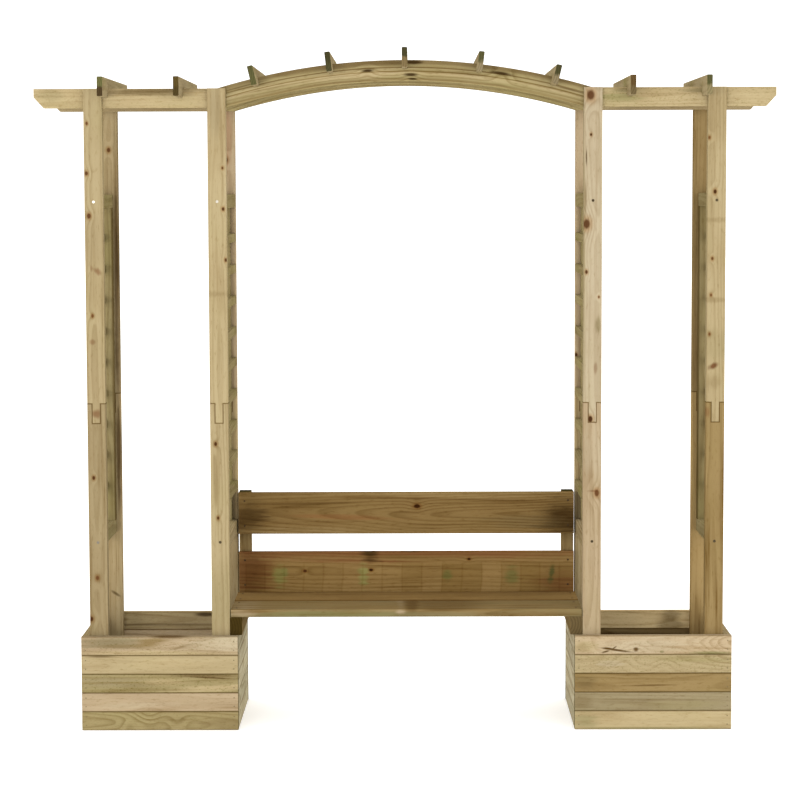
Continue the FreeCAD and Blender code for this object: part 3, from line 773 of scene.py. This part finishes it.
class ARBOUR_OT_posts(bpy.types.Operator):
    """Finish the eight posts, each in two lengths"""
    bl_idname = "arbour.posts"
    bl_label = "Posts"

    TONES = {
        "front_left_outer": (("tan", 0.9), ("straw", 0.95)), "front_left_inner": (("straw", 0.95), "straw"),
        "front_right_inner": (("sand", 0.99), ("cream", 0.93)),
        "front_right_outer": (("umber", 1.25), ("straw", 0.98)),
        "back_left_outer": (("tan", 1.3), ("tan", 1.05)), "back_left_inner": (("tan", 1.3), ("sand", 1.05)),
        "back_right_inner": (("tan", 1.3), ("sand", 1.1)),
        "back_right_outer": (("umber", 1.85), ("umber", 1.25)),
    }
    KNOTS = {
        "front_left_outer_upper": (
            (-1.158, 2.235, 0.005, 0.5), (-1.161, 2.054, 0.007, 0.6), (-1.154, 1.899, 0.008, 0.6),
            (-1.1455, 1.534, 0.006, 0.4)),
        "front_left_outer_lower": (
            (-1.149, 0.937, 0.0065, 0.75), (-1.14, 0.565, 0.008, 0.45), (-1.164, 0.412, 0.009, 0.8)),
        "front_left_inner_upper": (
            (-0.665, 2.072, 0.005, 0.6), (-0.664, 1.923, 0.006, 0.75), (-0.655, 1.737, 0.006, 0.7)),
        "front_left_inner_lower": ((-0.6986, 1.0614, 0.007, 0.8), (-0.692, 0.787, 0.006, 0.75)),
        "front_right_inner_upper": (
            (0.676, 2.332, 0.0165, 0.62), (0.6776, 2.189, 0.005, 0.9), (0.662, 1.8645, 0.0155, 0.68),
            (0.662, 1.6895, 0.006, 0.75), (0.708, 1.598, 0.004, 0.5), (0.678, 1.15, 0.0095, 0.85)),
        "front_right_inner_lower": ((0.703, 0.8765, 0.011, 0.5),),
        "front_right_outer_upper": (
            (1.108, 2.177, 0.006, 0.35), (1.13, 1.981, 0.0075, 0.85), (1.1216, 1.7374, 0.006, 0.55),
            (1.118, 1.604, 0.005, 0.4), (1.113, 1.461, 0.005, 0.4)),
        "back_left_outer_upper": (
            (-1.136, 2.145, 0.008, 0.6), (-1.138, 1.859, 0.01, 0.9), (-1.14, 1.679, 0.008, 0.8),
            (-1.162, 1.594, 0.006, 0.7)),
        "back_left_inner_upper": ((-0.688, 2.106, 0.01, 0.9),),
        "back_right_inner_upper": ((0.6555, 1.354, 0.007, 0.8),),
    }
    PATCHES = {
        "front_left_outer_upper": (
            (-1.137, 1.815, 0.12, 0.1, ("tan", 0.92), 0.6), (-1.137, 1.35, 0.12, 0.14, "tan", 0.6),
            (-1.128, 1.698, 0.022, 0.015, "rust", 0.6, -0.5), (-1.1465, 1.438, 0.012, 0.011, "rust", 0.5),
            (-1.139, 1.173, 0.014, 0.016, "rust", 0.65)),
        "front_left_inner_upper": (
            (-0.69, 1.613, 0.06, 0.014, "umber", 0.35), (-0.643, 2.05, 0.011, 0.34, ("cream", 1.1), 0.7),
            (-0.69, 2.28, 0.03, 0.1, "grey", 0.4)),
        "front_left_inner_lower": ((-0.696, 0.48, 0.1, 0.15, "olive", 0.45),),
        "front_right_inner_upper": (
            (0.652, 1.75, 0.006, 0.65, "olive", 0.6), (0.6604, 2.108, 0.003, 0.034, ("bark", 0.8), 0.8),
            (0.657, 1.96, 0.006, 0.07, ("umber", 0.9), 0.6),
            (0.705, 1.495, 0.016, 0.032, ("olive", 0.85), 0.6), (0.697, 1.338, 0.007, 0.022, "rust", 0.45)),
        "front_right_inner_lower": (
            (0.689, 0.884, 0.024, 0.005, "rust", 0.5), (0.685, 1.02, 0.1, 0.12, ("cream", 0.95), 0.7)),
        "front_right_outer_upper": (
            (1.1277, 1.344, 0.02, 0.013, ("rust", 0.8), 0.9, 0.35),
            (1.132, 1.285, 0.03, 0.03, "umber", 0.4), (1.128, 1.878, 0.1, 0.011, "umber", 0.35),
            (1.128, 1.586, 0.1, 0.011, "umber", 0.4), (1.136, 1.42, 0.1, 0.06, "olive", 0.4)),
        "front_right_outer_lower": ((1.107, 1.175, 0.008, 0.02, "rust", 0.4),),
        # The tall dark strips at x -1.11 along the inner edge of the left outer back post are painted shade
        # from the trellis
        "back_left_outer_lower": (
            (-1.11, 0.99, 0.012, 0.22, ("bark", 0.8), 0.8),
            (-1.129, 0.43, 0.022, 0.008, ("bark", 0.8), 0.7, -0.6)),
        "back_left_outer_upper": ((-1.11, 1.75, 0.012, 0.45, ("bark", 0.8), 0.7),),
        "back_left_inner_upper": (
            (-0.684, 1.945, 0.014, 0.022, "moss", 0.6), (-0.686, 1.88, 0.012, 0.03, "rust", 0.5),
            (-0.684, 2.2, 0.02, 0.14, ("rust", 1.5), 0.4)),
    }
    STREAKS = {"front_right_outer_lower": 0.95, "front_left_outer_lower": 0.6, "back_left_outer_upper": 0.8,
               "back_left_outer_lower": 0.7, "back_right_outer_upper": 0.7, "back_right_outer_lower": 0.7}

    def execute(self, context):
        half_tongue = context.scene.arbour_timber.tongue_width / 2
        for seed, (post, tones) in enumerate(self.TONES.items()):
            low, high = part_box(f"post_{post}_lower")
            tongue_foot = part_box(f"post_{post}_upper")[0].z
            joint = ((low.x + high.x) / 2, half_tongue, tongue_foot, high.z)
            for part, tone in zip(("lower", "upper"), tones):
                key = f"{post}_{part}"
                material = timber(f"post_{key}", "Z", tone, DRAWS["posts"] + 2 * seed + (part == "upper"),
                                  knots=self.KNOTS.get(key, ()), patches=self.PATCHES.get(key, ()),
                                  rings=0.3, streaks=self.STREAKS.get(key, 0.35), flecks=0.4, joint=joint,
                                  wild_knots=0.2 if post.startswith("back") else 0)
                dress(f"post_{key}", material)
        return {"FINISHED"}


class ARBOUR_OT_roof(bpy.types.Operator):
    """Finish the side beams and the two arches"""
    bl_idname = "arbour.roof"
    bl_label = "Beams and arches"

    ARCH_KNOTS = (
        (-0.137, 2.418, 0.009, 0), (0.023, 2.3926, 0.01, 0), (0.354, 2.402, 0.012, 0))
    ARCH_PATCHES = (
        (0.0, 0.028, 1.1, 0.013, ("umber", 0.8), 0.85), (0.0, -0.034, 0.9, 0.006, ("umber", 0.9), 0.6),
        (0.0, -0.01, 0.9, 0.013, ("straw", 1.1), 0.85), (0.0, 0.008, 1.2, 0.0028, ("bark", 1.2), 0.8),
        (-0.137, 0.0, 0.026, 0.0065, ("bark", 0.45), 0.95),
        (0.023, -0.018, 0.03, 0.007, ("bark", 0.45), 0.95),
        (0.03, -0.034, 0.02, 0.0045, ("bark", 0.4), 0.95),
        (0.034, 0.026, 0.032, 0.008, ("bark", 0.5), 0.95),
        (0.354, 0.012, 0.046, 0.0075, ("bark", 0.5), 0.95), (0.62, 0.004, 0.07, 0.003, ("bark", 0.8), 0.7),
        (-0.6, 0.016, 0.1, 0.003, ("bark", 0.8), 0.6))

    def execute(self, context):
        band = ((-0.925, ROOF_HEIGHT - 0.01, 0.23, 0.02, ("umber", 0.75), 0.9),
                (-1.29, ROOF_HEIGHT - 0.02, 0.05, 0.03, "olive", 0.5))
        # Moss low on the right beam is mould; the olive marks along its top edge at the last two rafters are
        # painted rafter shadows
        mould_and_rafter_shadow = ((0.79, ROOF_HEIGHT - 0.035, 0.09, 0.02, ("moss", 1.3), 0.45),
                 (1.09, ROOF_HEIGHT - 0.012, 0.09, 0.01, ("olive", 0.8), 0.7),
                 (0.8, ROOF_HEIGHT - 0.01, 0.05, 0.01, ("olive", 0.8), 0.6))
        for seed, (name, tone, patches, specks) in enumerate((
                ("beam_front_left", ("straw", 1.14), band, 0.25),
                ("beam_front_right", ("straw", 1.1), mould_and_rafter_shadow, 0.4),
                ("beam_back_left", "tan", (), 0.2), ("beam_back_right", "tan", (), 0.2))):
            dress(name, timber(name, "X", tone, DRAWS["beams"] + seed, patches=patches, rings=0.25,
                               specks=specks, wild_knots=0.3))
        for seed, (name, knots, patches) in enumerate((
                ("arch_front", self.ARCH_KNOTS, self.ARCH_PATCHES), ("arch_back", (), ()))):
            dress(name, timber(name, "arch", ("olive", 1.2), DRAWS["arches"] + seed, knots=knots,
                               patches=patches, rings=0.5, green=0.35, seam=-0.006, wild_knots=0))
        return {"FINISHED"}


class ARBOUR_OT_rafters(bpy.types.Operator):
    """Finish the nine rafters with their dark sawn ends"""
    bl_idname = "arbour.rafters"
    bl_label = "Rafters"

    # Upper and lower half of each sawn end, from the left
    ENDS = (
        (("moss", 0.85), ("bark", 0.45)), (("peat", 1.1), ("peat", 0.7)), (("moss", 0.55), ("moss", 0.6)),
        (("moss", 0.22), ("moss", 0.3)), (("moss", 0.25), ("umber", 0.85)), (("moss", 0.45), ("tan", 0.75)),
        (("moss", 0.28), ("tan", 0.7)), ("bark", ("umber", 0.6)), (("moss", 0.5), ("olive", 0.9)),
    )

    def execute(self, context):
        for index, (head, foot) in enumerate(self.ENDS, start=1):
            name = f"rafter_{index}"
            dress(name, timber(name, "Y", ("straw", 0.88), DRAWS["rafters"] + index, rings=0.2, green=0.8,
                               end_tone=head, foot_tone=foot))
        return {"FINISHED"}


class ARBOUR_OT_trellis(bpy.types.Operator):
    """Finish the trellis panels and their lower rails, and nail the slats to the stiles"""
    bl_idname = "arbour.trellis"
    bl_label = "Trellis"

    def execute(self, context):
        metal = context.scene.arbour_metal
        layers = (TOP_SLAT - (SLATS - 0.5) * SLAT_PITCH, SLAT_PITCH)
        places = []
        for side, sign in (("left", -1), ("right", 1)):
            for row in ("inner", "outer"):
                name = f"trellis_{side}_{row}"
                low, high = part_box(name)
                near, far = sorted((abs(low.x), abs(high.x)))
                facing = -sign if row == "inner" else sign
                face = near if row == "inner" else far
                stiles = (near + SLAT_THICKNESS, BEYOND) if row == "inner" else (0.0, far - SLAT_THICKNESS)
                stiles = (*stiles, high.z - TRELLIS_RAIL)
                dress(name, timber(name, "Y", ("olive", 1.15), DRAWS["panels"] + len(places), layers, stiles,
                                   spread=0.35, green=0.7, wild_knots=0.2, end_tone=("umber", 0.8)))
                rail = f"cross_rail_{side}_{row}"
                rail_tone = ("tan", 1.05) if row == "inner" else ("olive", 1.1)
                dress(rail, timber(rail, "Y", rail_tone, DRAWS["cross_rails"] + len(places), green=0.6))
                for slat in range(SLATS):
                    for y in (low.y + metal.slat_nail_inset, high.y - metal.slat_nail_inset):
                        for rise in (-metal.slat_nail_rise, metal.slat_nail_rise):
                            place = (sign * face, y, TOP_SLAT - slat * SLAT_PITCH + rise)
                            places.append((place, (facing, 0, 0)))
        place_nails("slat_nail", metal.slat_nail_radius, places, metal)
        return {"FINISHED"}


class ARBOUR_OT_bench(bpy.types.Operator):
    """Finish the seat and the backrest"""
    bl_idname = "arbour.bench"
    bl_label = "Bench"

    PATCHES = {
        "backrest_board_upper": (
            (0.0, 0.826, 0.8, 0.018, ("umber", 1.35), 0.6),
            (-0.4, 0.787, 0.25, 0.006, ("bark", 1.2), 0.7, 0.02),
            (0.3, 0.8, 0.3, 0.005, ("bark", 1.3), 0.5, -0.02),
            # The dark patches at both ends of the upper board are painted shade beside the posts
            (-0.62, 0.74, 0.12, 0.062, ("bark", 0.8), 0.85), (0.62, 0.735, 0.13, 0.075, ("bark", 0.6), 0.9),
            (0.45, 0.72, 0.16, 0.03, ("umber", 0.75), 0.5),
            (-0.45, 0.683, 0.25, 0.014, ("umber", 1.3), 0.6),
            (-0.25, 0.735, 0.22, 0.01, ("rust", 1.4), 0.4, -0.03)),
        "backrest_board_lower": (
            (0.0, 0.6, 0.85, 0.038, ("rust", 1.15), 0.75), (-0.61, 0.53, 0.11, 0.12, ("rust", 0.9), 0.75),
            (0.61, 0.47, 0.12, 0.07, "rust", 0.6), (-0.49, 0.508, 0.026, 0.04, ("moss", 1.8), 0.7),
            (-0.47, 0.525, 0.012, 0.02, ("moss", 1.5), 0.6),
            (-0.165, 0.505, 0.02, 0.044, ("moss", 1.8), 0.7),
            (0.157, 0.51, 0.019, 0.03, ("moss", 1.3), 0.75),
            (0.407, 0.51, 0.026, 0.032, ("moss", 1.2), 0.7),
            (0.56, 0.515, 0.015, 0.038, ("moss", 0.75), 0.9, 1.2),
            (-0.14, 0.59, 0.044, 0.026, ("bark", 0.75), 1.0, -0.1), (0.02, 0.602, 0.05, 0.006, "bark", 0.7)),
        "seat_board_front": (
            # The long olive band over the seat's front edge is painted shade, laid against a raised base tone
            # so that the top reads lighter than the edge
            (0.0, 0.42, 3.0, 0.024, ("olive", 0.74), 0.9), (-0.3, 0.428, 0.35, 0.012, ("moss", 1.1), 0.5),
            (-0.6, 0.432, 0.07, 0.016, ("sand", 0.95), 0.7),
            (0.45, 0.425, 0.25, 0.012, ("chestnut", 0.9), 0.6, 0.01),
            (-0.02, 0.436, 0.022, 0.01, ("sand", 0.95), 0.8),
            (0.14, 0.4455, 0.16, 0.01, ("bark", 1.2), 0.45), (0.02, 0.4445, 0.03, 0.012, ("bark", 1.1), 0.6)),
    }
    KNOTS = {
        "backrest_board_upper": ((0.0416, 0.777, 0.01, 0.95),),
        "backrest_board_lower": (
            (-0.1365, 0.529, 0.006, 0.95), (-0.391, 0.5256, 0.006, 0.75), (0.2415, 0.571, 0.0065, 0.95)),
    }
    # How far across a board its screws are
    SCREW_SHARES = (0.2, 0.8)

    def execute(self, context):
        for seed, (name, grain, tone, taper, laths) in enumerate((
                # The front board's raised tone is painted light on its top, against the painted shade of its
                # edge
                ("seat_board_front", "X", ("umber", 1.25), 0.02, 0),
                ("seat_board_rear", "X", ("chestnut", 1.32), 0, 0),
                ("seat_bearer_left", "Y", "umber", 0, 0),
                ("seat_bearer_right", "Y", ("umber", 1.1), 0, 0),
                ("backrest_board_lower", "X", ("chestnut", 1.3), 0, 0.7),
                ("backrest_board_upper", "X", "chestnut", -0.055, 0),
                ("backrest_batten_left", "Z", ("umber", 1.15), 0, 0),
                ("backrest_batten_right", "Z", ("umber", 1.15), 0, 0))):
            end_tone = {"seat_bearer_left": ("peat", 0.62), "seat_bearer_right": ("umber", 0.56)}.get(
                name, ("end_grain", 0.8))
            low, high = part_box(name)
            gaps = {"seat_board_front": ((1, high.y, 0.01),),
                    "seat_board_rear": ((1, low.y, 0.016), (1, high.y, 0.018))}.get(name, ())
            material = timber(name, grain, tone, DRAWS["bench"] + seed, knots=self.KNOTS.get(name, ()),
                              patches=self.PATCHES.get(name, ()), rings=0.5, ring_scale=1.2, taper=taper,
                              pith=(0.01, 0.045), streaks=0.6, green=0.15, wild_knots=0, laths=laths,
                              end_tone=end_tone, gaps=gaps)
            dress(name, material)
        self.screw_boards(context.scene.arbour_metal)
        return {"FINISHED"}

    def screw_boards(self, metal):
        """Two screws through each end of every board, over the bearer or batten that carries it."""
        places = []
        for name, carrier, row in (
                ("seat_board_front", "seat_bearer", 1), ("seat_board_rear", "seat_bearer", 1),
                ("backrest_board_lower", "backrest_batten", 2),
                ("backrest_board_upper", "backrest_batten", 2)):
            low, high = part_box(name)
            for side in ("left", "right"):
                post_low, post_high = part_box(f"{carrier}_{side}")
                x = (post_low.x + post_high.x) / 2
                for share in self.SCREW_SHARES:
                    across = low[row] + (high[row] - low[row]) * share
                    place = (x, across, high.z) if row == 1 else (x, low.y, across)
                    places.append((place, (0, 0, 1) if row == 1 else (0, -1, 0)))
        head = screw_head("bench_screw", metal.bench_screw_radius, metal.bench_screw_height)
        place_heads("bench_screws", head, places, steel("bench_screw_steel", tuple(metal.bench_screw)))


class ARBOUR_OT_fasteners(bpy.types.Operator):
    """Screws through the posts into the trellis rails"""
    bl_idname = "arbour.fasteners"
    bl_label = "Post screws"

    def execute(self, context):
        metal = context.scene.arbour_metal
        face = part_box("post_front_left_inner_lower")[0].y
        rails = [sum(part.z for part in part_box("cross_rail_right_inner")) / 2,
                 TRELLIS_TOP - TRELLIS_RAIL / 2]
        middles = [sum(part.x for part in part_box(f"post_front_{post}_lower")) / 2
                   for post in ("left_outer", "left_inner", "right_inner", "right_outer")]
        places = [((x, look * abs(face), z), (0, look, 0))
                  for x in middles for z in rails for look in (-1, 1)]
        pattern = screw_head("post_screw", metal.screw_radius, metal.screw_height,
                             metal.shank_radius, metal.shank_length)
        # The left outer upper head carries a painted glint; the other two are paler steel
        pale_heads_and_glint = (((middles[0], face, rails[1]), 1.0), ((middles[1], face, rails[1]), 0.55),
                 ((middles[0], face, rails[0]), 0.15))
        # The dark paint of these heads is partly painted shade of the screw holes
        screws = place_heads("post_screws", pattern, places,
                             steel("screw_steel", tuple(metal.zinc_and_hole_shade), 0.7, pale_heads_and_glint))
        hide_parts("rail_screws")
        return {"FINISHED"}


class ARBOUR_OT_studio(bpy.types.Operator):
    """Pale floor, soft light and the camera"""
    bl_idname = "arbour.studio"
    bl_label = "Studio"

    def execute(self, context):
        studio = context.scene.arbour_studio
        self.floor(studio)
        self.lights(studio)
        self.camera(studio)
        return {"FINISHED"}

    def floor(self, studio):
        deselect()
        bpy.ops.mesh.primitive_plane_add(size=FLOOR_SIZE, location=(0, 0, -FLOOR_DROP))
        floor = bpy.context.active_object
        floor.name = "floor"
        finish = Finish("studio_floor")
        place = finish.node("TexCoord", output="Object")
        paint = finish.blend(finish.noise(place, 3.0) * 0.02, tuple(studio.floor), shade(studio.floor, 0.9))
        floor.data.materials.append(finish.principled(Base_Color=paint, Roughness=0.9,
                                                      Specular_IOR_Level=0.1, Emission_Strength=0.3))

    def lights(self, studio):
        scene = bpy.context.scene
        scene.view_settings.view_transform = "Standard"
        world = bpy.data.worlds.new("studio_light")
        world.use_nodes = True
        background = world.node_tree.nodes["Background"]
        background.inputs["Color"].default_value = (1, 1, 1, 1)
        background.inputs["Strength"].default_value = studio.ambient
        scene.world = world
        for name, power, place, size in (("key", studio.key, (-2.6, -9.0, 1.9), 1.3),
                                         ("fill", studio.fill, (3.2, -9.0, 2.2), 2.2)):
            bpy.ops.object.light_add(type="AREA", location=place)
            lamp = bpy.context.active_object
            lamp.name = name
            lamp.data.energy = power
            lamp.data.size = size
            lamp.rotation_mode = "QUATERNION"
            lamp.rotation_quaternion = (LAMP_AIM - Vector(place)).to_track_quat("-Z", "Y")

    def camera(self, studio):
        pitch, roll, yaw = studio.camera_turn
        bpy.ops.object.camera_add()
        camera = bpy.context.active_object
        camera.name = "camera"
        camera.data.lens = studio.lens
        camera.data.sensor_width = 36
        camera.data.clip_end = 200
        camera.matrix_world = (Matrix.Translation(studio.camera_place)
                               @ Matrix.Rotation(-yaw, 4, "Z")
                               @ Matrix.Rotation(math.pi / 2 + pitch, 4, "X")
                               @ Matrix.Rotation(roll, 4, "Z"))
        bpy.context.scene.camera = camera


STEPS = (ARBOUR_OT_planters, ARBOUR_OT_posts, ARBOUR_OT_roof, ARBOUR_OT_rafters, ARBOUR_OT_trellis,
         ARBOUR_OT_bench, ARBOUR_OT_fasteners, ARBOUR_OT_studio)
GROUPS = {"arbour_timber": ArbourTimber, "arbour_metal": ArbourMetal, "arbour_studio": ArbourStudio}


class ARBOUR_PT_panel(bpy.types.Panel):
    """Sidebar panel with every step and what it can be set to"""
    bl_label = "Arbour Seat"
    bl_space_type = "VIEW_3D"
    bl_region_type = "UI"
    bl_category = "Arbour"

    def draw(self, context):
        for step in STEPS:
            self.layout.operator(step.bl_idname)
        for group in GROUPS:
            settings = getattr(context.scene, group)
            box = self.layout.box()
            for name in settings.__annotations__:
                box.prop(settings, name)


def register():
    for part in (*GROUPS.values(), *STEPS, ARBOUR_PT_panel):
        bpy.utils.register_class(part)
    for name, group in GROUPS.items():
        setattr(bpy.types.Scene, name, bpy.props.PointerProperty(type=group))


def unregister():
    for name in GROUPS:
        delattr(bpy.types.Scene, name)
    for part in reversed((*GROUPS.values(), *STEPS, ARBOUR_PT_panel)):
        bpy.utils.unregister_class(part)


def main():
    register()
    for step in STEPS:
        family, action = step.bl_idname.split(".")
        getattr(getattr(bpy.ops, family), action)()


if __name__ == "__main__":
    main()
